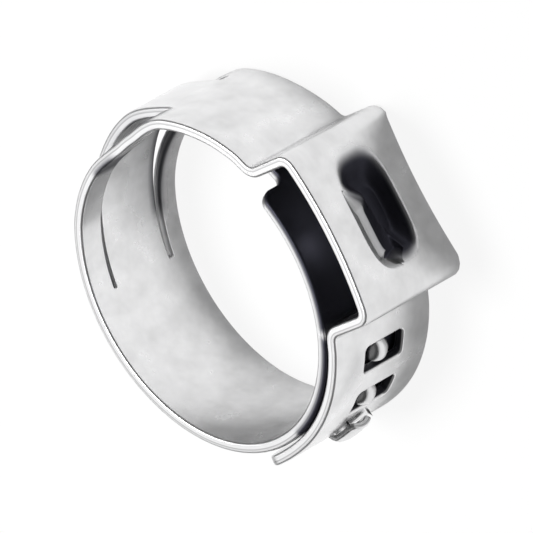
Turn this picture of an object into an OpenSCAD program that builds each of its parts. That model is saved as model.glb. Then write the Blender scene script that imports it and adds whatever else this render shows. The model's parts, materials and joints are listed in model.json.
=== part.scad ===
// Stepless ear clamp for half-inch cross-linked polyethylene pipe, open.
// One stainless strip is wound once and a half round the pipe. The inner end is a
// narrow tongue that slides under a lanced bridge. The outer end carries the ear
// and the windows that catch on hooks pressed out of the inner layer.
// The clamp lies on its rim: the bore runs along +Z and the lower rim is at z = 0.
// Angles are in degrees about the bore, counter-clockwise seen from above.

/* [Strip] */
// Inside diameter of the open clamp
bore_d = 17; // [16:0.5:20]
// Width of the strip
band_w = 7; // [6.5:0.25:9]
// Thickness of the strip
band_t = 0.6; // [0.5:0.05:0.7]
// Clearance between the two layers where they lap
layer_gap = 0.1; // [0.08:0.02:0.2]

/* [Tongue] */
// Angle where the inner end narrows to its tongue
shoulder_a = 53.5; // [45:0.5:58]
// Corner radius of the two shoulders
shoulder_r = 0.7; // [0.3:0.1:1]
// Width of the tongue
tongue_w = 3.8; // [3:0.1:4]
// Angle where the tongue ends
tongue_a = 107; // [90:1:112]
// Corner radius of the tongue's tip
tongue_r = 1; // [0.4:0.1:1.4]

/* [Bridge] */
// Width of the strip that is lanced free between the side rails
bridge_w = 4.2; // [3.8:0.1:4.6]
// Width of each slit beside the bridge
slit_w = 0.1; // [0.05:0.05:0.2]
// Angle where the bridge leaves the inner layer
bridge_a = 203; // [198:1:206]
// Angle where the side rails start to climb to the outer layer
step_a = 126; // [120:1:140]
// Angle where rails and bridge join in the outer layer
join_a = 106; // [102:1:109]
// How far the rails sag inside the bore circle before they climb
step_dip = 0.08; // [0:0.02:0.08]

/* [Ear] */
// Angle of the middle of the ear
ear_a = 34.5; // [32:0.5:37]
// Space between the inner faces of the two legs
ear_w = 8.4; // [7.6:0.1:8.8]
// Height of the cavity over the outer layer's inner face
ear_h = 2.45; // [2:0.05:3.2]
// Radius of the arched crown
crown_r = 19; // [14:1:40]
// Bend radius at the feet, on the bore side
foot_r = 1.2; // [0.9:0.1:1.5]
// Bend radius at the crown's corners, inside
corner_r = 0.35; // [0.2:0.05:0.6]

/* [Dimple] */
// Length of the dimple round the clamp
dimple_l = 6; // [5:0.1:6.2]
// Width of the dimple across the strip, before it tore
dimple_w = 3.4; // [3:0.1:3.6]
// Depth of the dimple
dimple_h = 1; // [0.8:0.05:1.2]
// Distance of its torn edge from the middle of the strip
tear_z = 0.6; // [0.3:0.1:0.8]
// Length of the slit that is torn open along that edge
tear_l = 4.2; // [3:0.2:4.6]
// Width of the torn slit
tear_w = 0.9; // [0.3:0.1:1]

/* [Windows and hooks] */
// Angle of the middle of the first window
window_a = -9.2; // [-10:0.1:-8.6]
// Angle from the first window to the second
window_pitch = 18.1; // [17.5:0.1:19]
// Length of the two windows round the clamp
window_l = 1.65; // [1.6:0.05:1.8]
// Width of a window
window_w = 2.7; // [2.5:0.1:3.2]
// Corner radius of a window
window_r = 0.35; // [0.2:0.05:0.6]
// Radius of a domed hook
dome_r = 0.9; // [0.8:0.05:0.95]
// How far a domed hook's top lies over the outer layer's outer face
dome_over = 0.1; // [0:0.05:0.2]
// Distance from a domed hook's middle to its sheared face
dome_cut = 0.4; // [0.2:0.05:0.5]
// Angle of the middle of the slot that the keeper rises through
keeper_a = -51.5; // [-53:0.5:-50]
// Length of that slot round the clamp
keeper_l = 1.95; // [1.8:0.05:2.1]
// Width of the keeper, a hood that reaches over the land before its slot
keeper_w = 1.7; // [1.5:0.1:2]
// Height of the hood over its flat underside
keeper_t = 0.55; // [0.45:0.05:0.6]
// Thickness of the hood's arched wall
keeper_wall = 0.35; // [0.25:0.05:0.4]
// Arc by which the keeper reaches over the land
keeper_reach = 6.3; // [4:0.1:7]

/* [Tail] */
// Angle where the outer end stops
tail_a = -64; // [-68:1:-62]
// How far the very end springs away from the inner layer
tail_lift = 0.2; // [0:0.05:0.4]
// Corner radius of the outer end
tail_r = 1; // [0.4:0.1:2]

/* [Hidden] */
$fn = 96;
eps = 0.01;
bore_r = bore_d / 2;
// Inner and outer face of the inner layer, then of the outer layer
lap_r = bore_r + band_t;
over_r = lap_r + layer_gap;
top_r = over_r + band_t;
mid_z = band_w / 2;
rail_w = (band_w - bridge_w) / 2 - slit_w;
// Crown of the ear, along the ear's own direction
crown_u = over_r + ear_h;
ear_half = ear_w / 2;
foot_turn = asin(ear_half / over_r);
crown_sag = crown_r - sqrt(crown_r * crown_r - ear_half * ear_half);
// Windows and their hooks, from the ear to the tail
window_half = asin(window_l / 2 / top_r);
dome_c = top_r + dome_over - dome_r;
dome_set = window_l / 2 - dome_r - 0.12;
keeper_in = top_r + layer_gap;
slot_half = asin(keeper_l / 2 / top_r);
keeper_tip = keeper_a + slot_half + keeper_reach;
keeper_root = keeper_a - slot_half + 1.5;
keeper_arch = keeper_w * 0.6;
// Ring that shapes the dimple: its outer radius, then the radius of its section
press_l = (dimple_l * dimple_l / 4 + dimple_h * dimple_h) / (2 * dimple_h);
press_w = (dimple_w * dimple_w / 4 + dimple_h * dimple_h) / (2 * dimple_h);
// How far a root is set back under the faces of what it grows out of
nip = 0.03;
lift_run = 22;
lift_a = tail_a + lift_run;

function at(r, a) = [r * cos(a), r * sin(a)];
function arc(r, a0, a1, n) = [for (i = [0:n]) at(r, a0 + (a1 - a0) * i / n)];
function ease(x) = x * x * (3 - 2 * x);
function unit(v) = v / norm(v);
function left(v) = [-v[1], v[0]];
function heading(v) = atan2(v[1], v[0]);
// A bend of radius r at corner c of the line a, c, b, as n + 1 points
function bend(a, c, b, r, n = 6) =
    let (u = unit(c - a), v = unit(b - c))
    let (turn = atan2(u[0] * v[1] - u[1] * v[0], u * v))
    let (side = sign(turn), d = r * tan(abs(turn) / 2))
    let (m = c - u * d + left(u) * r * side)
    [for (i = [0:n]) m + at(r, heading(u) - 90 * side + turn * i / n)];
// Normal to the left of a path at point i, longer at a corner; radial at both ends
function miter(p, i) =
    let (u = unit(p[i] - p[i - 1]), v = unit(p[i + 1] - p[i]))
    let (n = unit(left(u) + left(v)))
    n / (n * left(u));
function normal(p, i) = i == 0 || i == len(p) - 1 ? unit(p[i]) : miter(p, i);
// Outline of a strip of thickness t that lies to the left of path p
function outline(p, t) =
    let (n = len(p))
    concat(p, [for (i = [n - 1:-1:0]) p[i] + normal(p, i) * t]);
// The same for a strip whose ends are let into another: they thin by nip on each face
function let_in(p, t) =
    let (n = len(p))
    concat(p, [for (i = [n - 1:-1:0]) p[i] + normal(p, i) * (t - (i == 0 || i == n - 1 ? 2 * nip : 0))]);
// A point of the ear: u along its middle line, v across it
function ear(u, v) = [u * cos(ear_a) - v * sin(ear_a), u * sin(ear_a) + v * cos(ear_a)];
function crown(v) = ear(crown_u - crown_r + sqrt(crown_r * crown_r - v * v), v);

foot_hi = at(over_r, ear_a + foot_turn);
foot_lo = at(over_r, ear_a - foot_turn);
head_hi = ear(crown_u - crown_sag, ear_half);
head_lo = ear(crown_u - crown_sag, -ear_half);
run = ear_half - 2.2 * corner_r;
lead = 8;
// Inner face of the outer layer, from the join over the ear to the tail
outer_path = concat(
    arc(over_r, join_a, ear_a + foot_turn + lead, 10),
    bend(at(over_r, ear_a + foot_turn + lead), foot_hi, head_hi, foot_r),
    bend(foot_hi, head_hi, crown(run), corner_r),
    [for (i = [0:8]) crown(run * (1 - i / 4))],
    bend(crown(-run), head_lo, foot_lo, corner_r),
    bend(head_lo, foot_lo, at(over_r, ear_a - foot_turn - lead), foot_r),
    arc(over_r, ear_a - foot_turn - lead, lift_a, 12),
    [for (i = [1:6]) at(over_r + tail_lift * pow(i / 6, 2), lift_a + (tail_a - lift_a) * i / 6)]
);
// Inner face of a side rail, from the root of the bridge up the step to the join
function step_r(a) =
    let (x = max(0, (step_a - a) / (step_a - join_a)), y = max(0, min(1, (bridge_a - 40 - a) / (bridge_a - 40 - join_a))))
    bore_r + (over_r - bore_r) * ease(min(1, x)) - step_dip * pow(sin(180 * y), 2);
rail_path = concat(
    [at(bore_r + nip, bridge_a + 2)],
    [for (i = [0:38]) let (a = bridge_a - 1.5 + (join_a + 1.5 - bridge_a) * i / 38) at(step_r(a), a)],
    [at(over_r + nip, join_a - 4)]
);
// Inner face of the bridge, which climbs over its whole length
function bridge_r(a) = bore_r + (over_r - bore_r) * ease((bridge_a - a) / (bridge_a - join_a));
bridge_path = concat(
    [at(bore_r + nip, bridge_a + 2)],
    [for (i = [0:34]) let (a = bridge_a - 1 + (join_a + 1 - bridge_a) * i / 34) at(bridge_r(a), a)],
    [at(over_r + nip, join_a - 4)]
);
// Inner face of the keeper, from its free end back to its root in the inner layer
keeper_top = keeper_a + slot_half - 3.5;
keeper_path = concat(
    arc(keeper_in, keeper_tip, keeper_top + 1, 5),
    [for (i = [0:6]) let (x = i / 6)
        at(keeper_in - (keeper_in - lap_r + keeper_t) * ease(x), keeper_top + (keeper_root - keeper_top) * x)]
);

// A rectangle with round corners, centred
module slab(l, w, r) {
    square([l - 2 * r, w], center = true);
    square([l, w - 2 * r], center = true);
    for (x = [-1, 1], y = [-1, 1]) translate([x * (l / 2 - r), y * (w / 2 - r)]) circle(r);
}

// Stands a flat shape across the strip at angle a, from radius r0 to r1
module radial(a, r0, r1) {
    rotate([0, 0, a]) translate([r0, 0, mid_z]) rotate([0, 90, 0]) linear_extrude(r1 - r0) children();
}

// What is cut off to round the two corners of an end at angle a, w wide; the strip lies on side s
module corners(a, w, r, s) {
    e = 0.5;
    for (x = [-1, 1]) radial(a, bore_r - 1, top_r + 1) polygon(concat(
        [for (q = arc(r, 0, 90, 6)) [x * (w / 2 - r + q[0]), s * (r - q[1])]],
        [[x * (w / 2 - r), -s * e], [x * (w / 2 + e), -s * e], [x * (w / 2 + e), s * r]]
    ));
}

// A true arc of the inner layer
module lap(a0, a1, w) {
    rotate([0, 0, a0]) rotate_extrude(angle = a1 - a0) translate([bore_r, mid_z - w / 2]) square([band_t, w]);
}

module windows() {
    for (i = [0, 1]) radial(window_a - i * window_pitch, bore_r, top_r + 2) slab(window_w, window_l, window_r);
    radial(keeper_a, bore_r, top_r + 2) slab(window_w, keeper_l, window_r);
}

// A hook pressed up as half a dome, hollow towards the bore, sheared towards the tail
module dome(i) {
    rotate([0, 0, window_a - i * window_pitch]) translate([dome_c, dome_set, mid_z]) difference() {
        sphere(dome_r);
        sphere(dome_r - band_t * 0.75);
        translate([-2, -4 - dome_cut, -2]) cube([4, 4, 4]);
        translate([bore_r - dome_c - 4 + 0.25, -2, -2]) cube([4, 4, 4]);
    }
}

// The opening that a domed hook leaves in the inner layer
module dome_hole(i) {
    rotate([0, 0, window_a - i * window_pitch]) translate([dome_c, dome_set, mid_z]) {
        sphere(dome_r - band_t * 0.75);
        rotate([0, -90, 0]) cylinder(r = (dome_r - band_t * 0.75) * 0.85, h = 2);
        translate([-2, -dome_cut - 0.35, -dome_r * 0.6]) cube([3, 0.35 + eps, dome_r * 1.2]);
    }
}

// The keeper: a hood raised through its slot, arched across, open to the ear
module keeper() {
    difference() {
        translate([0, 0, mid_z - keeper_w / 2]) linear_extrude(keeper_w) polygon(outline(keeper_path, keeper_t));
        rotate([0, 0, keeper_a + slot_half]) translate([keeper_in + keeper_t - keeper_arch, 0, mid_z])
            rotate([-90, 0, 0]) translate([0, 0, -1.2]) {
                difference() {
                    translate([0, -keeper_arch - 1, 0]) cube([keeper_arch + 1, 2 * keeper_arch + 2, 4]);
                    translate([0, 0, -1]) cylinder(r = keeper_arch, h = 6);
                }
                translate([0, 0, 0.9]) cylinder(r = keeper_arch - keeper_wall, h = 3.1);
            }
    }
}

// The opening that the keeper leaves in the inner layer
module keeper_hole() {
    w = keeper_w + 2 * layer_gap;
    rotate([0, 0, keeper_root]) rotate_extrude(angle = keeper_tip - keeper_root)
        translate([bore_r - 1, mid_z - w / 2]) square([band_t + layer_gap / 2 + 1, w]);
}

// What is cut away beside the tongue, from height z up
module notch(z) {
    rotate([0, 0, shoulder_a]) rotate_extrude(angle = tongue_a - shoulder_a + 10) translate([bore_r - 1, z])
        square([band_t + 2, (band_w - tongue_w) / 2 + 1]);
}

module inner_layer() {
    difference() {
        lap(bridge_a - 360, tongue_a, band_w);
        for (z = [-1, mid_z + tongue_w / 2]) notch(z);
        corners(shoulder_a, band_w, shoulder_r, -1);
        corners(tongue_a, tongue_w, tongue_r, -1);
        for (i = [0, 1]) dome_hole(i);
        keeper_hole();
    }
    for (i = [0, 1]) dome(i);
    keeper();
}

module step() {
    for (z = [0, band_w - rail_w]) translate([0, 0, z]) linear_extrude(rail_w) polygon(let_in(rail_path, band_t));
    translate([0, 0, mid_z - bridge_w / 2]) linear_extrude(bridge_w) polygon(let_in(bridge_path, band_t));
}

// Place of the dimple: x along the crown, y across the strip, z outwards
module on_crown() {
    rotate([0, 0, ear_a]) translate([crown_u, 0, mid_z]) children();
}

// Everything on the far side of the torn edge, out to height h over the crown's inner face
module dimple_side(h) {
    translate([-4, -5, tear_z - 10]) cube([4 + h, 10, 10]);
}

module press(r) {
    translate([band_t - dimple_h + press_l, 0, 0]) rotate_extrude() translate([press_l - press_w, 0]) circle(r);
}

// The ear's crown gets half a dish, pressed in and torn open along its straight edge
module outer_layer() {
    difference() {
        union() {
            linear_extrude(band_w) polygon(outline(outer_path, band_t));
            on_crown() intersection() {
                press(press_w + band_t);
                dimple_side(band_t / 4);
            }
        }
        windows();
        on_crown() intersection() {
            press(press_w);
            dimple_side(2);
        }
        on_crown() translate([-2, -tear_l / 2, tear_z - eps]) cube([4, tear_l, tear_w + eps]);
        corners(tail_a, band_w, tail_r, 1);
    }
}

module clamp_band() {
    color("silver") union() {
        inner_layer();
        step();
        outer_layer();
    }
}

clamp_band();
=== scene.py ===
"""Stepless ear clamp for plastic water pipe: one stainless strip, cut flat, pressed and wound."""

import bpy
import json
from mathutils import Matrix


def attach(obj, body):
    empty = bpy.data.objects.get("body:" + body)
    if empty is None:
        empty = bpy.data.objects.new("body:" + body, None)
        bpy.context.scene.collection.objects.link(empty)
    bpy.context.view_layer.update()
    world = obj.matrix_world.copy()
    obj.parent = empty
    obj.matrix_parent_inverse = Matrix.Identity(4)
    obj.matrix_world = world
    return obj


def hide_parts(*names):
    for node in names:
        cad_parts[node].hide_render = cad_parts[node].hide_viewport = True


bl_info = {
    "name": "Stepless Ear Clamp",
    "version": (1, 0, 0),
    "blender": (4, 5, 0),
    "location": "View3D > Sidebar > Clamp",
    "description": "Builds an ear clamp from a flat stainless blank, and a plain studio round it",
    "category": "Object",
}

import json
import math

import bpy
import numpy as np
from bpy.props import FloatProperty, FloatVectorProperty, PointerProperty
from bpy.types import Operator, Panel, PropertyGroup
from mathutils import Matrix, Vector
from mathutils.geometry import delaunay_2d_cdt

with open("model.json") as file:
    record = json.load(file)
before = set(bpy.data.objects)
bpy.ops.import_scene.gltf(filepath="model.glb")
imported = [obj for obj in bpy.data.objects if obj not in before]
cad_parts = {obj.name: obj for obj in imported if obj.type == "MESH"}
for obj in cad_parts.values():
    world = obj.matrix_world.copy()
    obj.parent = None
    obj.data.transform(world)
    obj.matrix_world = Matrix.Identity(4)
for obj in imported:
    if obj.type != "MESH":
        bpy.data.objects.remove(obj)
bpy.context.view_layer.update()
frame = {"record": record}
MM = 0.001
BORE = next(m for m in frame["record"]["mounts"] if m["name"] == "bore")["dims"]


class ClampSizes(PropertyGroup):
    """Sizes of the strip, in millimetres and degrees; angles run counter-clockwise about the bore"""
    bore_r: FloatProperty(name="Bore Radius", description="Radius of the open bore",
                          default=BORE["r_mm"], min=5)
    width: FloatProperty(name="Strip Width", description="Width of the strip",
                         default=BORE["length_mm"], min=3)
    thick: FloatProperty(name="Strip Thickness", description="Thickness of the strip", default=0.6, min=0.2)
    gap: FloatProperty(name="Lap Clearance", description="Clearance between the lapped layers",
                       default=0.1, min=0.02)
    rim: FloatProperty(name="Edge Rounding", description="Rounding along the cut edges",
                       default=0.14, min=0.01)
    tongue_w: FloatProperty(name="Tongue Width", description="Width of the inner end's tongue", default=3.8)
    ear_w: FloatProperty(name="Ear Width", description="Space between the legs of the ear", default=8.4)
    ear_h: FloatProperty(name="Ear Height", description="Height of the ear's cavity over the outer layer",
                         default=2.45)
    dimple_h: FloatProperty(name="Dimple Depth", description="Depth of the torn dimple in the crown",
                            default=1.1)
    window_w: FloatProperty(name="Window Width", description="Width of the windows", default=2.7)
    window_l: FloatProperty(name="Window Length", description="Length of the windows round the clamp",
                            default=1.65)


class ClampFinish(PropertyGroup):
    """Finish of the stainless strip"""
    steel: FloatVectorProperty(name="Steel", description="Colour of the rolled faces", subtype="COLOR",
                               default=(0.84, 0.84, 0.845), min=0, max=1)
    cut: FloatVectorProperty(name="Cut Edge", description="Colour of the sheared edges", subtype="COLOR",
                             default=(0.86, 0.86, 0.865), min=0, max=1)
    # Painted shade: dark colour laid into the closed-in places, where shade falls
    hollow: FloatVectorProperty(name="Painted Shade", description="Colour of the closed-in places", subtype="COLOR",
                                default=(0.05, 0.05, 0.065), min=0, max=1)
    roughness: FloatProperty(name="Roughness", description="Roughness of the rolled faces",
                             default=0.23, min=0.02, max=1)
    grain: FloatProperty(name="Grain", description="Height of the rolling grain", default=0.35, min=0, max=1)


class ClampStage(PropertyGroup):
    """Floor and light"""
    floor: FloatVectorProperty(name="Floor", description="Colour of the floor", subtype="COLOR",
                               default=(0.9, 0.9, 0.9), min=0, max=1)
    lamps: FloatProperty(name="Lamps", description="Strength of the lamps", default=1.0, min=0)
    sky: FloatProperty(name="Sky", description="Strength of the light from overhead", default=1.0, min=0)


# Angles that lay out the strip: the tongue's tip and shoulders, the bridge's root and its join, and the tail
TONGUE_A, SHOULDER_A, BRIDGE_A, JOIN_A, TAIL_A = 107.0, 56.5, -157.0, 106.0, -64.0
# The ear, the first window and the step to the next, and the slot that the keeper comes through
EAR_A, WINDOW_A, WINDOW_PITCH, SLOT_A = 34.5, -9.2, 18.1, -51.5
# Lengths, in millimetres. Windows, hooks and dimple stand this far under the middle of the strip's width
OFF_MIDDLE = 0.12
# Bend radii of the ear: its crown, its feet and its corners
CROWN_R, FOOT_R, CORNER_R = 19.0, 1.2, 0.35
# Degrees of the outer layer that each foot of the ear may bend, and by which the rails run past the join
FOOT_RUN, RAIL_RUN = 8, 4
# How far the tail stands off the layer under it, and the angle over which it lifts, in degrees
TAIL_LIFT, TAIL_RUN = 0.2, 22
# How far the tongue lies inside the bore at its tip
TONGUE_DIP = 0.22
# Slits beside the bridge, across the strip: where each starts and ends at its root, then at the join
SLITS = (((1.2, 1.38), (1.12, 1.52)), ((5.41, 5.47), (5.41, 5.47)))
# Edge of the bridge at its upper slit, and the middle of that slit
BRIDGE_TOP, UPPER_SLIT = 5.41, 5.44
# Slot of the keeper: half its length, and its clearance beside the keeper
SLOT_HALF, SLOT_GAP = 0.92, 0.03
# The keeper: half its width, its height over the outer layer and the share of its thickness that the press
# leaves, then, in degrees, how far it reaches from the slot's middle to its tip and back to its root, and
# where it climbs
KEEPER_HALF, KEEPER_OVER, THIN = 0.85, 0.28, 0.62
KEEPER_REACH, KEEPER_BACK, KEEPER_CLIMB = 12.0, 4.2, 6.4
# Width of the slit that is cut round the keeper
KEEPER_SLIT = 0.1
# The domed hooks: radius, height, place off the middle and angle from the first to the next, and the cut that
# shears each one through on the side of the tail
DOME_R, DOME_H, DOME_Z, DOME_PITCH = 0.8, 0.84, 0.16, 19.6
DOME_CUT = (0.45, 0.49)
# The dimple: its middle, round the clamp and across, half lengths and half widths, squareness of its outline,
# and the angles about its middle between which it is torn from the crown
DISH_S, DISH_Z = -0.05, -0.02
DISH_ENDS, DISH_SIDES, SQUARE = (3.35, 2.9), (1.78, 1.68), 3.2
TEAR = (4, 119)
# How far the dimple's pull draws the crown's far edge in, and its own torn side across and along the strip
EDGE_DRAW, TEAR_DRAW, TEAR_CURL = 0.76, 1.22, 0.45
# The open clamp is a little out of round. Radius of the bore-side face at some angles, in millimetres,
# along the lower and along the upper rim: the side rails up the step, the bridge, and the outer layer
STEP = (((203, 8.5), (175, 8.47), (163, 8.38), (150, 8.28), (137, 8.18), (129, 8.28), (122, 8.6), (115, 8.76),
         (108, 9.0), (102, 9.0)),
        ((203, 8.5), (175, 8.48), (163, 8.38), (154, 8.29), (146, 8.2), (137, 8.05), (129, 8.04), (118, 8.32),
         (110, 8.74), (105, 8.97), (102, 9.01)))
BRIDGE = (((203, 8.5), (180, 8.6), (160, 8.85), (147, 9.05), (138, 9.2), (130, 9.28), (125, 9.18),
           (118, 8.98), (111, 8.95), (106, 9.0)),
          ((203, 8.5), (180, 8.6), (160, 8.8), (147, 8.93), (134, 9.1), (127, 9.17), (119, 9.08), (112, 8.98),
           (106, 8.97)))
LAY = (((106, -0.2), (96, -0.19), (85, -0.17), (76, -0.1), (68, -0.02), (62, 0)),
       ((106, -0.22), (98, -0.15), (89, -0.08), (80, 0), (71, 0.04), (62, 0)))


def at(r, a):
    a = np.radians(a)
    return np.stack([r * np.cos(a), r * np.sin(a)], -1)


def ease(x):
    x = np.clip(x, 0, 1)
    return x * x * (3 - 2 * x)


def bend(a, c, b, r, n=14):
    """Round bend of radius r at corner c of the line a, c, b."""
    u, v = (c - a) / np.linalg.norm(c - a), (b - c) / np.linalg.norm(b - c)
    turn = math.atan2(u[0] * v[1] - u[1] * v[0], u @ v)
    side = math.copysign(1, turn)
    centre = c - u * r * math.tan(abs(turn) / 2) + np.array([-u[1], u[0]]) * r * side
    start = math.degrees(math.atan2(u[1], u[0])) - 90 * side
    return centre + at(r, start + math.degrees(turn) * np.linspace(0, 1, n))


class Line:
    """A path in the plane of the rim, measured along its length, with the heading at each point."""

    def __init__(self, points, start=0.0, length=None, soft=0):
        p = np.asarray(points, float)
        p = p[np.r_[True, np.linalg.norm(np.diff(p, axis=0), axis=1) > 1e-6]]
        d = np.r_[0, np.cumsum(np.linalg.norm(np.diff(p, axis=0), axis=1))]
        n = int(d[-1] / 0.04) + 2
        s = np.linspace(0, d[-1], n)
        p = np.stack([np.interp(s, d, p[:, k]) for k in (0, 1)], -1)
        for _ in range(soft):
            p[1:-1] = (p[:-2] + 2 * p[1:-1] + p[2:]) / 4
        step = np.gradient(p, axis=0)
        self.head = np.unwrap(np.arctan2(step[:, 1], step[:, 0]))
        self.p, self.s = p, start + s * ((length or d[-1]) / d[-1])
        self.turn = np.unwrap(np.arctan2(p[:, 1], p[:, 0]))

    def place(self, s):
        p = np.stack([np.interp(s, self.s, self.p[:, k]) for k in (0, 1)], -1)
        h = np.interp(s, self.s, self.head)
        return p, np.stack([-np.sin(h), np.cos(h)], -1)

    def where(self, angle):
        """Length along the path at an angle; the path runs clockwise, so its angles fall."""
        t = np.degrees(self.turn)
        angle += 360 * round((t.mean() - angle) / 360)
        return float(np.interp(-angle, -t, self.s))


class Pair:
    """The same stretch of strip along its lower and its upper rim."""

    def __init__(self, low, high, start=0.0, soft=0):
        self.high = Line(high, start, None, soft)
        self.low = Line(low, start, self.high.s[-1] - start, soft)
        self.s, self.head = self.high.s, self.high.head

    def place(self, s, f):
        (p0, n0), (p1, n1) = self.low.place(s), self.high.place(s)
        f = np.clip(f, 0, 1)[:, None]
        n = n0 * (1 - f) + n1 * f
        return p0 * (1 - f) + p1 * f, n / np.linalg.norm(n, axis=1)[:, None]

    def where(self, angle):
        return self.high.where(angle)


class Strip:
    """The blank's layout and how each point of it is carried to its place on the clamp."""

    def __init__(self, z):
        t, w, r0 = z.thick, z.width, z.bore_r
        self.t, self.w, self.mid = t, w, w / 2 - OFF_MIDDLE
        over = r0 + t + z.gap
        top = over + t
        half = z.ear_w / 2
        crown_u = over + z.ear_h
        foot = math.degrees(math.asin(half / over))
        ear = lambda u, v: at(u, EAR_A) + v * at(1, EAR_A + 90)
        sag = CROWN_R - math.sqrt(CROWN_R ** 2 - half ** 2)
        run = half - 2.2 * CORNER_R
        crown = lambda v: ear(crown_u - CROWN_R + math.sqrt(CROWN_R ** 2 - v * v), v)
        hi, lo = at(over, EAR_A + foot), at(over, EAR_A - foot)
        head_hi, head_lo = ear(crown_u - sag, half), ear(crown_u - sag, -half)
        arc = lambda r, a0, a1: at(r, np.linspace(a0, a1, max(4, int(abs(a1 - a0) * 2))))

        def measured(table, a0, a1, base=0.0):
            a = np.linspace(a0, a1, 240)
            known = sorted(table)
            return at(base + np.interp(a, [k[0] for k in known], [k[1] for k in known]), a)

        # Inner layer, from the tongue's tip clockwise to the root of the bridge
        tongue = np.linspace(TONGUE_A, BRIDGE_A, 1200)
        self.inner = Pair(*[at(r0 - TONGUE_DIP * ease((tongue - 60) / 30), tongue)] * 2)
        s1 = self.inner.s[-1]
        a_in = BRIDGE_A + 360
        self.bridge = Pair(*[measured(k, a_in, JOIN_A) for k in BRIDGE], s1, 60)
        s2 = self.bridge.s[-1]
        self.rails = Pair(*[measured(k, a_in, JOIN_A - RAIL_RUN) for k in STEP], s1, 60)
        # Outer layer, over the ear to the tail
        lift = np.linspace(0, 1, 40)
        tail = at(over + TAIL_LIFT * lift ** 2, TAIL_A + TAIL_RUN * (1 - lift))
        rims = [np.vstack([
            measured(k, JOIN_A, EAR_A + foot + FOOT_RUN, over),
            bend(at(over, EAR_A + foot + FOOT_RUN), hi, head_hi, FOOT_R),
            bend(hi, head_hi, crown(run), CORNER_R),
            [crown(v) for v in np.linspace(run, -run, 60)],
            bend(crown(-run), head_lo, lo, CORNER_R),
            bend(head_lo, lo, at(over, EAR_A - foot - FOOT_RUN), FOOT_R),
            arc(over, EAR_A - foot - FOOT_RUN, TAIL_A + TAIL_RUN), tail,
        ]) for k in LAY]
        self.outer = Pair(*rims, s2)
        self.s1, self.s2, self.end = s1, s2, float(self.outer.s[-1])
        # The rails share the bridge's length and then run on into the outer layer, 0.2 mm closer in there
        scale = (s2 + math.radians(RAIL_RUN) * (over - 0.2) - s1) / (self.rails.s[-1] - s1)
        for line in (self.rails.low, self.rails.high):
            line.s = s1 + (line.s - s1) * scale
        self.rail_end = float(self.rails.high.s[-1])
        crown_at = np.linalg.norm(self.outer.high.p - crown(0.0), axis=1).argmin()
        self.crown_s = float(self.outer.s[crown_at])
        self.shoulder_s = self.inner.where(SHOULDER_A)
        h = z.window_l / 2 * over / top
        self.windows = [(self.outer.where(WINDOW_A - i * WINDOW_PITCH), h) for i in (0, 1)]
        self.windows.append((self.outer.where(SLOT_A), SLOT_HALF))
        self.dimple_h = z.dimple_h
        # Hooks: middle of each dome along the inner layer, then the keeper
        self.domes = [self.inner.where(WINDOW_A - i * DOME_PITCH) for i in (0, 1)]
        tip, root = SLOT_A + KEEPER_REACH, SLOT_A - KEEPER_BACK
        self.keeper_s = (self.inner.where(tip), self.inner.where(root))
        k = np.linspace(0, 1, 200)
        ka = root + (tip - root) * k
        kr = r0 + (top + KEEPER_OVER - r0) * ease((ka - root) / KEEPER_CLIMB)
        self.keeper = Line(at(kr, ka)[::-1], self.keeper_s[0], self.keeper_s[1] - self.keeper_s[0])

    def sheet(self, s, z, part):
        """Inner face of the strip and its outward normal for points of the blank."""
        f = z / self.w
        p, n = self.inner.place(s, f)
        for line, lo, hi in ((self.bridge, self.s1, self.s2), (self.outer, self.s2, 1e9)):
            m = (s > lo) & (s <= hi)
            p[m], n[m] = line.place(s[m], f[m])
        m = (part == 1) & (s > self.s1) & (s < self.rail_end)
        p[m], n[m] = self.rails.place(s[m], f[m])
        m = part == 2
        p[m], n[m] = self.keeper.place(s[m])
        return p, n

    def dish(self, s, z):
        """Place in the torn dimple: v round the clamp, y across, rho from middle to outline, and how torn."""
        v, y = self.crown_s - s + DISH_S, z - self.mid - DISH_Z
        a, b = v / np.where(v > 0, *DISH_ENDS), y / np.where(y > 0, *DISH_SIDES)
        rho = (np.abs(a) ** SQUARE + np.abs(b) ** SQUARE) ** (1 / SQUARE)
        phi = np.degrees(np.arctan2(b, -a))
        torn = ease((phi - 2) / 16) * ease((121 - phi) / 28)
        return v, y, rho, torn

    def press(self, s, z, part):
        """How far the tools move a point: outwards, along the width, and along the strip."""
        out, dz, ds = np.zeros_like(s), np.zeros_like(s), np.zeros_like(s)
        # Torn dimple in the crown of the ear; its pull draws the crown's far edge in
        v, y, rho, torn = self.dish(s, z)
        crown = np.abs(v) < 4.0
        drawn = np.clip(1 - ((v - 0.25) / 4.05) ** 2, 0, 1) * np.clip(1 - z / 7, 0, 1) ** 2
        out -= np.where(crown, EDGE_DRAW * drawn, 0)
        whole, ripped = ease((1 - rho) / 0.6), 1 - 0.28 * np.clip((rho - 0.3) / 0.7, 0, 1) ** 1.3
        inside = rho < 1
        out -= np.where(inside, self.dimple_h * (whole * (1 - torn) + ripped * torn), 0)
        pull = ease((2.1 - v) / 1.3) * ease((v + 2.9) / 0.7) * np.clip((y + DISH_SIDES[1]) / 3.43, 0, 1)
        pull *= np.clip((1 - rho) / 0.25 + torn, 0, 1)
        dz -= np.where(inside, TEAR_DRAW * pull, 0)
        ds -= np.where(inside, TEAR_CURL * torn * ease((-v - 1.6) / 1.2) * np.clip(rho, 0, 1) ** 2, 0)
        # Domed hooks, sheared on the side of the tail
        for c in self.domes:
            d = np.clip(1 - np.hypot(s - c, z - self.mid - DOME_Z) / DOME_R, 0, 1)
            d = 1 - (1 - d) ** 2
            out += np.where(s < c + 0.46, DOME_H * np.sqrt(d) * ease(d * 4), 0)
        # The keeper is arched across, hooded over the outer layer
        q = (z - self.mid) / KEEPER_HALF
        hood = ease((self.keeper_s[0] + 3.0 - s) / 2.2)
        out -= np.where(part == 2, 0.3 * q * q * hood, 0)
        dz -= np.where(part == 2, 0.06 * (z - self.mid) * hood, 0)
        return out, dz, ds

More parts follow.
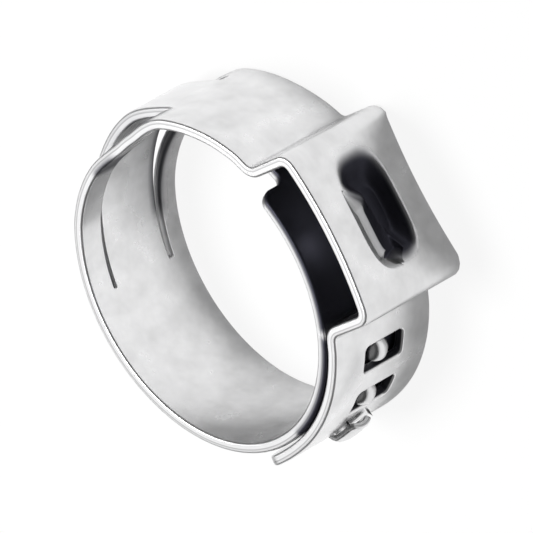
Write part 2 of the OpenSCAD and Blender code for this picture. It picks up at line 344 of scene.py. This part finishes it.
    def face(self, s, z, part):
        """Outer face of the strip, in space."""
        out, dz, ds = self.press(s, z, part)
        p, normal = self.sheet(s + ds, z + dz, part)
        thick = self.t * np.where(part == 2, THIN, 1.0)
        return np.column_stack([p + normal * (thick + out)[:, None], z + dz])

    def carry(self, q, part):
        """Points of the blank in space: the outer face, and from it inwards along its own normal."""
        s, z, n = q.T
        e = 0.006
        along = self.face(s + e, z, part) - self.face(s - e, z, part)
        across = self.face(s, z + e, part) - self.face(s, z - e, part)
        normal = np.cross(across, along)
        normal /= np.maximum(np.linalg.norm(normal, axis=1), 1e-12)[:, None]
        depth = (self.t - n) * np.where(part == 2, THIN, 1.0)
        return self.face(s, z, part) - normal * depth[:, None]

    def normals(self, q, part, flat):
        """Shading normals, from how the blank is stretched where each point lies."""
        e = 0.01
        cols = []
        for k in range(3):
            d = np.zeros(3)
            d[k] = e
            cols.append((self.carry(q + d, part) - self.carry(q - d, part)) / (2 * e))
        a, b, c = cols
        m = flat[:, :1] * np.cross(b, c) + flat[:, 1:2] * np.cross(c, a) + flat[:, 2:] * np.cross(a, b)
        m *= np.sign(np.einsum("ij,ij->i", np.cross(a, b), c))[:, None]
        return m / np.maximum(np.linalg.norm(m, axis=1), 1e-12)[:, None]


def rounded(corners, radii, step):
    """Closed outline with round corners, as points no further apart than step."""
    pts = []
    n = len(corners)
    for i in range(n):
        a, c, b = (np.array(corners[(i + k) % n], float) for k in (-1, 0, 1))
        k = max(4, int(radii[i] * 1.6 / min(step, 0.12)) + 2)
        arc = bend(a, c, b, radii[i], k)
        if pts:
            gap = np.linalg.norm(arc[0] - pts[-1])
            m = max(1, int(gap / step))
            pts += [pts[-1] + (arc[0] - pts[-1]) * j / m for j in range(1, m)]
        pts += list(arc)
    gap = np.linalg.norm(pts[0] - pts[-1])
    m = max(1, int(gap / step))
    last = pts[-1]
    pts += [last + (pts[0] - last) * j / m for j in range(1, m)]
    return np.array(pts)


def inside(points, loop):
    """Which points lie inside a closed outline."""
    x, y = points[:, 0][:, None], points[:, 1][:, None]
    a, b = loop, np.roll(loop, -1, 0)
    cross = ((a[:, 1] > y) != (b[:, 1] > y))
    dy = np.where(b[:, 1] == a[:, 1], 1e-12, b[:, 1] - a[:, 1])
    hit = x < (b[:, 0] - a[:, 0]) * (y - a[:, 1]) / dy + a[:, 0]
    return (cross & hit).sum(1) % 2 == 1


def blank_outlines(strip, z):
    """Outlines of the flat blank: the outside first, then what is cut out of it. Material is on the left."""
    w, mid = strip.w, strip.mid
    t0, t1 = mid - z.tongue_w / 2, mid + z.tongue_w / 2
    sh = strip.shoulder_s
    edge = rounded([(0, t0), (sh, t0), (sh, 0), (strip.end, 0), (strip.end, w), (sh, w), (sh, t1), (0, t1)],
                   [1.0, 0.5, 0.7, 1.0, 1.0, 0.7, 0.5, 1.0], 0.14)
    cuts = []

    def cut(s0, s1, z0, z1, r, step=0.14):
        cuts.append(rounded([(s0, z0), (s0, z1), (s1, z1), (s1, z0)], [r] * 4, step))

    sides = (z.window_w / 2, z.window_w / 2, KEEPER_HALF + SLOT_GAP)
    for (s, h), y in zip(strip.windows, sides):
        cut(s - h, s + h, mid - y, mid + y, 0.25)
    for (low0, high0), (low1, high1) in SLITS:
        a, b = strip.s1, strip.s2 - 0.3
        cuts.append(rounded([(a, low0), (a, high0), (b, high1), (b, low1)], [0.02, 0.02, 0.02, 0.02], 0.1))
    phi = np.radians(np.linspace(*TEAR, 80))
    rim = np.stack([np.cos(phi), np.sin(phi)], -1)
    rim /= (np.abs(rim[:, :1]) ** SQUARE + np.abs(rim[:, 1:]) ** SQUARE) ** (1 / SQUARE)
    rim *= np.column_stack([np.where(rim[:, 0] < 0, *DISH_ENDS), np.full(len(rim), DISH_SIDES[0])])
    tear = [rim * k + [strip.crown_s + DISH_S, mid + DISH_Z] for k in (1.012, 0.988)]
    cuts.append(np.vstack([tear[0], tear[1][::-1]]))
    for c in strip.domes:
        reach = math.sqrt(DOME_R ** 2 - DOME_CUT[0] ** 2)
        cut(c + DOME_CUT[0], c + DOME_CUT[1], mid + DOME_Z - reach, mid + DOME_Z + reach, 0.019, 0.06)
    a, b = strip.keeper_s
    k, g = KEEPER_HALF, KEEPER_SLIT
    cuts.append(rounded([(b, mid - k - g), (a - g, mid - k - g), (a - g, mid + k + g), (b, mid + k + g),
                         (b, mid + k), (a, mid + k), (a, mid - k), (b, mid - k)],
                        [0.045, 0.3, 0.3, 0.045, 0.045, 0.25, 0.25, 0.045], 0.1))
    return [edge] + cuts


# Grid of the blank: degrees of bend from one line across to the next, its shortest and longest step, and the
# number of points on a line
LINE_TURN, LINE_STEPS, ACROSS = 3.2, (0.06, 0.32), 20


def grid_points(strip):
    """Points of the blank between the outlines, closer where it is bent or pressed."""
    lines = [0.05]
    while lines[-1] < strip.end:
        s = lines[-1]
        line = strip.inner if s < strip.s1 else strip.bridge if s < strip.s2 else strip.outer
        turn = abs(np.interp(s + 0.15, line.s, line.head) - np.interp(s, line.s, line.head)) / 0.15
        lines.append(s + float(np.clip(math.radians(LINE_TURN) / max(turn, 1e-3), *LINE_STEPS)))
    pts = [np.array([(s, y) for s in lines for y in np.linspace(0.2, strip.w - 0.2, ACROSS)])]
    mid = strip.mid
    patches = [(strip.crown_s - 3.4, strip.crown_s + 3.4, mid - 2.1, mid + 2.2, 0.11)]
    patches += [(c - 0.85, c + 0.85, mid + DOME_Z - 0.85, mid + DOME_Z + 0.85, 0.05) for c in strip.domes]
    patches += [(strip.keeper_s[0], strip.keeper_s[1], mid - 1.15, mid + 1.15, 0.09)]
    for s0, s1, z0, z1, d in patches:
        for i, p in enumerate(pts):
            keep = ~((p[:, 0] > s0 - d) & (p[:, 0] < s1 + d) & (p[:, 1] > z0 - d) & (p[:, 1] < z1 + d))
            pts[i] = p[keep]
        gs, gz = np.meshgrid(np.arange(s0, s1, d), np.arange(z0, z1, d), indexing="ij")
        pts.append(np.column_stack([gs.ravel(), gz.ravel()]))
    return np.vstack(pts)


def build_strip(z):
    """The strip as one mesh: both faces filled between the outlines, and a rounded wall along each."""
    strip = Strip(z)
    t, b = strip.t, z.rim
    loops, inward = blank_outlines(strip, z), []
    for loop in loops:
        d = np.roll(loop, -1, 0) - np.roll(loop, 1, 0)
        m = np.column_stack([-d[:, 1], d[:, 0]])
        m /= np.linalg.norm(m, axis=1)[:, None]
        inward.append(m)
    rims = [loop + m * b for loop, m in zip(loops, inward)]
    pts = grid_points(strip)
    every = np.vstack(rims)
    keep = inside(pts, rims[0])
    for r in rims[1:]:
        keep &= ~inside(pts, r)
    pts = pts[keep]
    # Points too near an outline go, or they would leave slivers
    order = np.argsort(every[:, 0])
    xs = every[order]
    near = np.ones(len(pts), bool)
    for i, p in enumerate(pts):
        lo, hi = np.searchsorted(xs[:, 0], [p[0] - 0.07, p[0] + 0.07])
        if hi > lo and np.min(np.sum((xs[lo:hi] - p) ** 2, 1)) < 0.045 ** 2:
            near[i] = False
    pts = pts[near]
    verts = np.vstack([every, pts])
    edges, at0 = [], 0
    for r in rims:
        n = len(r)
        edges += [(at0 + i, at0 + (i + 1) % n) for i in range(n)]
        at0 += n
    out_v, _, out_f, orig, _, _ = delaunay_2d_cdt([Vector(p) for p in verts], edges, [], 0, 1e-6, True)
    flat = np.array([tuple(v) for v in out_v])
    faces = np.array([f for f in out_f if len(f) == 3])
    mids = flat[faces].mean(1)
    keep = inside(mids, rims[0])
    for r in rims[1:]:
        box = (r[:, 0].min(), r[:, 0].max())
        m = (mids[:, 0] > box[0]) & (mids[:, 0] < box[1])
        keep[m] &= ~inside(mids[m], r)
    faces = faces[keep]
    index = {}
    for new, olds in enumerate(orig):
        for o in olds:
            index[o] = new
    n2 = len(flat)
    # Rows down the wall: offset from the outline and height in the thickness
    turn = np.radians([30, 60, 90])
    rows = [(b * (1 - math.sin(a)), t - b * (1 - math.cos(a)), a) for a in turn]
    rows += [(b * (1 - math.sin(a)), b * (1 - math.cos(a)), -a) for a in turn[::-1]]
    q = [np.column_stack([flat, np.full(n2, t)]), np.column_stack([flat, np.zeros(n2)])]
    m3 = [np.tile([0.0, 0, 1], (n2, 1)), np.tile([0.0, 0, -1], (n2, 1))]
    wall, cut_mask = [], [np.zeros(2 * n2)]
    tris = [faces[:, ::-1], faces + n2]
    start, at0 = 2 * n2, 0
    for loop, m in zip(loops, inward):
        n = len(loop)
        ids = [np.array([index[at0 + i] for i in range(n)])]
        for off, h, a in rows:
            q.append(np.column_stack([loop + m * off, np.full(n, h)]))
            m3.append(np.column_stack([-m * math.sin(abs(a)), np.full(n, math.copysign(math.cos(a), a))]))
            ids.append(start + np.arange(n))
            cut_mask.append(np.full(n, math.sin(abs(a))))
            start += n
        ids.append(ids[0] + n2)
        for up, down in zip(ids[:-1], ids[1:]):
            wall.append(np.column_stack([up, np.roll(up, -1), np.roll(down, -1), down]))
        at0 += n
    q, m3, sheared = np.vstack(q), np.vstack(m3), np.concatenate(cut_mask)
    part = region(strip, q)
    sheared = np.where((part == 2) & (q[:, 0] > strip.keeper_s[0] + 0.25), 0, sheared)
    xyz = strip.carry(q, part)
    normal = strip.normals(q, part, m3)
    quads = np.vstack(wall)
    mesh = bpy.data.meshes.new("clamp_strip")
    mesh.from_pydata([tuple(p * MM) for p in xyz], [], [tuple(int(i) for i in f) for f in np.vstack(tris)]
                     + [tuple(int(i) for i in f) for f in quads])
    mesh.update()
    uv = mesh.uv_layers.new(name="strip")
    corner = np.zeros(len(mesh.loops), int)
    mesh.loops.foreach_get("vertex_index", corner)
    uv.data.foreach_set("uv", (q[corner][:, :2] * [0.01, 0.01]).ravel())
    # Painted shade: how much of the dark shade colour each point takes, in the closed-in places
    dim = mesh.attributes.new("hollow", "FLOAT", "POINT")
    dim.data.foreach_set("value", hollows(strip, q, sheared, xyz).astype(np.float32))
    across = mesh.attributes.new("across", "FLOAT", "POINT")
    across.data.foreach_set("value", (q[:, 2] / t).astype(np.float32))
    cut = mesh.attributes.new("cut", "FLOAT", "POINT")
    cut.data.foreach_set("value", sheared.astype(np.float32))
    for p in mesh.polygons:
        p.use_smooth = True
    mesh.normals_split_custom_set_from_vertices([tuple(v) for v in normal])
    obj = bpy.data.objects.new("clamp_strip", mesh)
    bpy.context.scene.collection.objects.link(obj)
    return obj


def hollows(strip, q, cut, xyz):
    """Painted shade of the closed-in places, and a darker patch by the first window: how dark, 0 to 1."""
    s, z, n = q.T
    _, _, rho, torn = strip.dish(s, z)
    face = n > strip.t / 2
    # Painted shade in the dimple, up to its outline and a little over it where it isn't torn
    dish = np.maximum(ease((1.06 - rho) / 0.26), torn ** 0.25 * (rho < 1)) * (1 - cut)
    tone = np.where(face & (rho < 1.1), dish, 0)
    # Painted shade on the inner layer under the ear and under the windows
    ear_from, ear_to = strip.inner.where(EAR_A + 31), strip.inner.where(EAR_A - 31)
    shade = ease((s - ear_from) / 0.6) * ease((ear_to - s) / 0.6)
    for c in strip.domes:
        dome = np.hypot(s - c, z - strip.mid - DOME_Z) / DOME_R
        shade = np.maximum(shade, ease((2.2 - abs(s - c)) / 0.5) * ease((dome - 0.8) / 0.15))
    keeper = (s > strip.keeper_s[0] - 0.05) & (abs(z - strip.mid) < KEEPER_HALF + 0.05)
    tone = np.maximum(tone, np.where(face & (s < strip.s1) & ~keeper, shade, 0))
    # Painted shade on the bore side behind the bridge: the step, then the lower slit, then the upper rail
    a, bore = np.degrees(np.arctan2(xyz[:, 1], xyz[:, 0])) % 360, n < strip.t * 0.75
    step = 0.2 * ease((a - 120) / 18) * ease((200 - a) / 26) * ease((5.4 - z) / 3) * ease(z / 2)
    slit = 0.95 * np.exp(-((z - 1.35) / 0.34) ** 2) * ease((a - 104) / 8) * ease((192 - a) / 10)
    rail = 0.85 * ease((a - 130) / 8) * ease((152 - a) / 5) * ease((z - 5.35) / 0.15)
    behind = bore & (a > 100) & (a < 205)
    tone = np.maximum(tone, np.where(behind, np.clip(step + slit + rail, 0, 0.95), 0))
    # Painted shade in the gap between the upper rail and the bridge, as seen from above
    gap = 0.9 * ease((a - 104) / 6) * ease((142 - a) / 12) * ease((z - 4.9) / 0.45)
    rails_back = ~bore & (z > UPPER_SLIT) & (s > strip.s1) & (s < strip.rail_end)
    near = (bore & (z < UPPER_SLIT) & (z > 4.9)) | rails_back
    tone = np.maximum(tone, np.where(near & (cut < 0.6), gap, 0))
    # Painted shade along the bridge's sheared side at its upper slit
    side = (abs(z - BRIDGE_TOP) < 0.15) & (cut > 0.4) & (s > strip.s1) & (s < strip.s2)
    tone = np.maximum(tone, np.where(side, 0.2, 0))
    # Darker patch beside the first window
    window_patch = ease(1.2 - np.hypot((s - strip.windows[0][0] - 0.5) / 1.9, (z - strip.mid - 2.15) / 0.8))
    tone = np.maximum(tone, np.where(face, 0.14 * window_patch, 0))
    # Painted shade on the sheared sides of the windows
    for c, h in strip.windows[:2]:
        wall = 0.9 * ease((cut - 0.88) / 0.12) * (abs(z - strip.mid) < 1.6)
        tone = np.maximum(tone, np.where(abs(s - c) < h + 0.2, wall, 0))
    return tone


def region(strip, q):
    """0 on the plain strip, 1 on the rails beside the bridge, 2 on the keeper."""
    s, z = q[:, 0], q[:, 1]
    part = np.zeros(len(q), int)
    y = np.abs(z - strip.mid)
    slits = [np.mean(pair) for pair in SLITS]
    part[(s > strip.s1) & (s < strip.rail_end) & ((z < slits[0]) | (z > slits[1]))] = 1
    a, b = strip.keeper_s
    part[(s > a - 0.049) & (s < b) & (y < KEEPER_HALF + 0.049)] = 2
    return part


# Materials

def node(tree, kind, place=(0, 0), **values):
    n = tree.nodes.new(kind)
    n.location = place
    for name, value in values.items():
        if hasattr(n, name):
            setattr(n, name, value)
        else:
            n.inputs[name.replace("_", " ")].default_value = value
    return n


def fill_ramp(ramp, table, colour):
    """Set a colour ramp's stops from places, in rising order, and brightnesses."""
    stops = ramp.color_ramp.elements
    for place, _ in table[1:-1]:
        stops.new(place)
    for stop, (place, grey) in zip(stops, table):
        stop.position, stop.color = place, (*[c * grey for c in colour], 1)


def grain_group():
    """Rolling grain: fine scratches along the strip and a soft mottle, as a height and a tone."""
    g = bpy.data.node_groups.new("Rolled Grain", "ShaderNodeTree")
    for name, kind, value in (("Along", "NodeSocketFloat", 40.0), ("Across", "NodeSocketFloat", 900.0),
                              ("Mottle", "NodeSocketFloat", 60.0)):
        sock = g.interface.new_socket(name, in_out="INPUT", socket_type=kind)
        sock.default_value = value
    for name in ("Height", "Tone"):
        g.interface.new_socket(name, in_out="OUTPUT", socket_type="NodeSocketFloat")
    src, end = node(g, "NodeGroupInput", (-900, 0)), node(g, "NodeGroupOutput", (500, 0))
    uv = node(g, "ShaderNodeUVMap", (-900, 250), uv_map="strip")
    scale = node(g, "ShaderNodeCombineXYZ", (-700, 60))
    stretch = node(g, "ShaderNodeVectorMath", (-520, 160), operation="MULTIPLY")
    fine = node(g, "ShaderNodeTexNoise", (-320, 200), Scale=1.0, Detail=4.0, Roughness=0.6)
    soft = node(g, "ShaderNodeTexNoise", (-320, -120), Detail=3.0, Roughness=0.55)
    tone = node(g, "ShaderNodeMapRange", (100, -120))
    tone.inputs["From Min"].default_value, tone.inputs["From Max"].default_value = 0.3, 0.7
    link = g.links.new
    link(src.outputs["Along"], scale.inputs["X"])
    link(src.outputs["Across"], scale.inputs["Y"])
    link(uv.outputs["UV"], stretch.inputs[0])
    link(scale.outputs["Vector"], stretch.inputs[1])
    link(stretch.outputs["Vector"], fine.inputs["Vector"])
    link(uv.outputs["UV"], soft.inputs["Vector"])
    link(src.outputs["Mottle"], soft.inputs["Scale"])
    link(soft.outputs["Fac"], tone.inputs["Value"])
    link(fine.outputs["Fac"], end.inputs["Height"])
    link(tone.outputs["Result"], end.inputs["Tone"])
    return g


# Brightness of the mottle's dull patches, roughness of the cut edges and of the painted shade in the hollows,
# and the grain's height in metres
MOTTLE, CUT_ROUGH, PAINTED_SHADE_ROUGH, GRAIN_DEPTH = 0.78, 0.42, 0.55, 0.00002
# Brightness across the sheared edge, from the bore side: smooth band, then the line where the metal broke
SHEAR = ((0.0, 0.86), (0.5, 0.95), (0.6, 0.5), (0.67, 0.8), (1.0, 0.9))


def steel_material(f):
    """Rolled stainless strip with brighter sheared edges, and painted shade in its closed-in places."""
    m = bpy.data.materials.new("stainless_strip")
    m.use_nodes = True
    t = m.node_tree
    t.nodes.clear()
    link = t.links.new
    grain = node(t, "ShaderNodeGroup", (-700, 0))
    grain.node_tree = grain_group()
    cut = node(t, "ShaderNodeAttribute", (-700, 250), attribute_name="cut")
    shade = node(t, "ShaderNodeMix", (-450, 250), data_type="RGBA")
    shade.inputs["A"].default_value = (*[c * MOTTLE for c in f.steel], 1)
    shade.inputs["B"].default_value = (*f.steel, 1)
    # Painted shade: this attribute darkens the colour towards the shade colour in the closed-in places and
    # dulls it
    hollow = node(t, "ShaderNodeAttribute", (-450, 550), attribute_name="hollow")
    across = node(t, "ShaderNodeAttribute", (-900, 450), attribute_name="across")
    bands = node(t, "ShaderNodeValToRGB", (-700, 500))
    fill_ramp(bands, SHEAR, f.cut)
    edge = node(t, "ShaderNodeMix", (-220, 250), data_type="RGBA")
    colour = node(t, "ShaderNodeMix", (-100, 450), data_type="RGBA")
    colour.inputs["B"].default_value = (*f.hollow, 1)
    rough = node(t, "ShaderNodeMapRange", (-450, 0))
    rough.inputs["To Min"].default_value = f.roughness * 0.8
    rough.inputs["To Max"].default_value = f.roughness * 1.25
    dull = node(t, "ShaderNodeMix", (-220, 0), data_type="FLOAT", B=CUT_ROUGH)
    deep = node(t, "ShaderNodeMix", (-100, 0), data_type="FLOAT", B=PAINTED_SHADE_ROUGH)
    bump = node(t, "ShaderNodeBump", (-220, -200), Strength=f.grain, Distance=GRAIN_DEPTH)
    steel = node(t, "ShaderNodeBsdfPrincipled", (50, 100), Metallic=1.0)
    out = node(t, "ShaderNodeOutputMaterial", (350, 100))
    link(grain.outputs["Tone"], shade.inputs["Factor"])
    link(across.outputs["Fac"], bands.inputs["Fac"])
    link(shade.outputs["Result"], edge.inputs["A"])
    link(bands.outputs["Color"], edge.inputs["B"])
    link(edge.outputs["Result"], colour.inputs["A"])
    link(hollow.outputs["Fac"], colour.inputs["Factor"])
    link(cut.outputs["Fac"], edge.inputs["Factor"])
    link(colour.outputs["Result"], steel.inputs["Base Color"])
    link(grain.outputs["Tone"], rough.inputs["Value"])
    link(cut.outputs["Fac"], dull.inputs["Factor"])
    link(rough.outputs["Result"], dull.inputs["A"])
    link(dull.outputs["Result"], deep.inputs["A"])
    link(hollow.outputs["Fac"], deep.inputs["Factor"])
    link(deep.outputs["Result"], steel.inputs["Roughness"])
    link(grain.outputs["Height"], bump.inputs["Height"])
    link(bump.outputs["Normal"], steel.inputs["Normal"])
    link(steel.outputs["BSDF"], out.inputs["Surface"])
    return m


# Share of plain white in what the camera sees of the floor, and in what the steel reflects of it; the rest is
# the lit floor
CAMERA_SHARE, METAL_SHARE = 0.9, 0.28
# Brightness of the sky by the height of its direction: 0 at the horizon, 1 overhead
SKY = ((0.0, 0.6), (0.06, 0.4), (0.17, 0.03), (0.42, 0.06), (0.62, 0.2), (1.0, 0.2))
# Lamps: name, place in metres, size in metres, watts
LAMPS = (("key", (-0.15, -0.02, 0.425), 0.18, 2.2), ("back", (-0.31, -0.25, 0.3), 0.3, 0.07))
# Half the side of the floor, and how far it lies under the clamp, in metres
FLOOR_HALF, FLOOR_DROP = 2, 0.00005
# Camera: focal length in millimetres, where it stands, in metres, and its right, up and back directions
LENS = 501.88
EYE = (0.23890, 0.19137, 0.23386)
RIGHT, UP, BACK = (0.71600, -0.04990, -0.69631), (-0.31793, 0.86469, -0.38888), (0.62150, 0.49982, 0.60326)


def floor_material(f):
    """Pale floor that shows white to the camera and keeps a soft shadow."""
    m = bpy.data.materials.new("studio_floor")
    m.use_nodes = True
    t = m.node_tree
    t.nodes.clear()
    link = t.links.new
    paths = node(t, "ShaderNodeLightPath", (-700, 300))
    plain = node(t, "ShaderNodeBsdfDiffuse", (-300, 0))
    plain.inputs["Color"].default_value = (*f.floor, 1)
    glow = node(t, "ShaderNodeEmission", (-300, -150), Strength=1.0)
    mix = node(t, "ShaderNodeMixShader", (0, 100))
    out = node(t, "ShaderNodeOutputMaterial", (200, 100))
    shares = []
    for k, (ray, share) in enumerate((("Is Camera Ray", CAMERA_SHARE), ("Is Glossy Ray", METAL_SHARE))):
        n = node(t, "ShaderNodeMath", (-500, 400 - 180 * k), operation="MULTIPLY")
        n.inputs[1].default_value = share
        link(paths.outputs[ray], n.inputs[0])
        shares.append(n)
    both = node(t, "ShaderNodeMath", (-300, 300), operation="MAXIMUM")
    link(shares[0].outputs[0], both.inputs[0])
    link(shares[1].outputs[0], both.inputs[1])
    link(both.outputs[0], mix.inputs["Fac"])
    link(plain.outputs[0], mix.inputs[1])
    link(glow.outputs[0], mix.inputs[2])
    link(mix.outputs[0], out.inputs["Surface"])
    return m


def studio_world(level):
    """Overhead light that fades to a dim horizon; the camera sees plain white."""
    world = bpy.data.worlds.new("studio")
    world.use_nodes = True
    t = world.node_tree
    t.nodes.clear()
    link = t.links.new
    where = node(t, "ShaderNodeTexCoord", (-900, 0))
    axes = node(t, "ShaderNodeSeparateXYZ", (-700, 0))
    ramp = node(t, "ShaderNodeValToRGB", (-500, 0))
    fill_ramp(ramp, SKY, (1, 1, 1))
    sky = node(t, "ShaderNodeBackground", (-200, 0), Strength=level)
    plain = node(t, "ShaderNodeBackground", (-200, -150), Strength=1.0)
    plain.inputs["Color"].default_value = (1, 1, 1, 1)
    paths = node(t, "ShaderNodeLightPath", (-200, 350))
    mix = node(t, "ShaderNodeMixShader", (0, 100))
    out = node(t, "ShaderNodeOutputWorld", (200, 100))
    link(where.outputs["Generated"], axes.inputs[0])
    link(axes.outputs["Z"], ramp.inputs["Fac"])
    link(ramp.outputs["Color"], sky.inputs["Color"])
    link(paths.outputs["Is Camera Ray"], mix.inputs["Fac"])
    link(sky.outputs[0], mix.inputs[1])
    link(plain.outputs[0], mix.inputs[2])
    link(mix.outputs[0], out.inputs["Surface"])
    return world


# Operators

class CLAMP_OT_strip(Operator):
    """Cut the blank, press its hooks and dimple, wind it and give it its stainless finish"""
    bl_idname = "clamp.strip"
    bl_label = "Strip"

    def execute(self, context):
        obj = build_strip(context.scene.clamp_sizes)
        obj.data.materials.append(steel_material(context.scene.clamp_finish))
        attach(obj, "root")
        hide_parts("clamp_band")
        return {"FINISHED"}


class CLAMP_OT_stage(Operator):
    """Set the floor, the light and the camera"""
    bl_idname = "clamp.stage"
    bl_label = "Stage"

    def execute(self, context):
        scene = context.scene
        st = scene.clamp_stage
        mesh = bpy.data.meshes.new("floor")
        h = FLOOR_HALF
        mesh.from_pydata([(-h, -h, 0), (h, -h, 0), (h, h, 0), (-h, h, 0)], [], [(0, 1, 2, 3)])
        floor = bpy.data.objects.new("floor", mesh)
        floor.data.materials.append(floor_material(st))
        floor.location.z = -FLOOR_DROP
        scene.collection.objects.link(floor)
        for name, place, size, power in LAMPS:
            lamp = bpy.data.lights.new(name, "AREA")
            lamp.shape, lamp.size, lamp.energy = "DISK", size, power * st.lamps
            obj = bpy.data.objects.new(name, lamp)
            obj.location = place
            obj.rotation_euler = (-Vector(place)).to_track_quat("-Z", "Y").to_euler()
            scene.collection.objects.link(obj)
        scene.world = studio_world(st.sky)
        camera = bpy.data.cameras.new("camera")
        camera.sensor_width, camera.lens = 36, LENS
        camera.clip_start, camera.clip_end = 0.05, 10
        eye = bpy.data.objects.new("camera", camera)
        turn = Matrix((RIGHT, UP, BACK)).transposed().to_4x4()
        eye.matrix_world = Matrix.Translation(EYE) @ turn
        scene.collection.objects.link(eye)
        scene.camera = eye
        scene.view_settings.view_transform = "Standard"
        return {"FINISHED"}


class CLAMP_PT_build(Panel):
    """Lists the clamp's sizes, its finish and what builds it"""
    bl_idname = "CLAMP_PT_build"
    bl_label = "Ear Clamp"
    bl_space_type = "VIEW_3D"
    bl_region_type = "UI"
    bl_category = "Clamp"

    def draw(self, context):
        for group in (context.scene.clamp_sizes, context.scene.clamp_finish, context.scene.clamp_stage):
            box = self.layout.box()
            for name in group.__annotations__:
                box.prop(group, name)
        for op in (CLAMP_OT_strip, CLAMP_OT_stage):
            self.layout.operator(op.bl_idname)


CLASSES = (ClampSizes, ClampFinish, ClampStage, CLAMP_OT_strip, CLAMP_OT_stage, CLAMP_PT_build)


def register():
    for cls in CLASSES:
        bpy.utils.register_class(cls)
    bpy.types.Scene.clamp_sizes = PointerProperty(type=ClampSizes)
    bpy.types.Scene.clamp_finish = PointerProperty(type=ClampFinish)
    bpy.types.Scene.clamp_stage = PointerProperty(type=ClampStage)


def unregister():
    del bpy.types.Scene.clamp_stage, bpy.types.Scene.clamp_finish, bpy.types.Scene.clamp_sizes
    for cls in reversed(CLASSES):
        bpy.utils.unregister_class(cls)


def main():
    register()
    bpy.ops.clamp.strip()
    bpy.ops.clamp.stage()


if __name__ == "__main__":
    main()
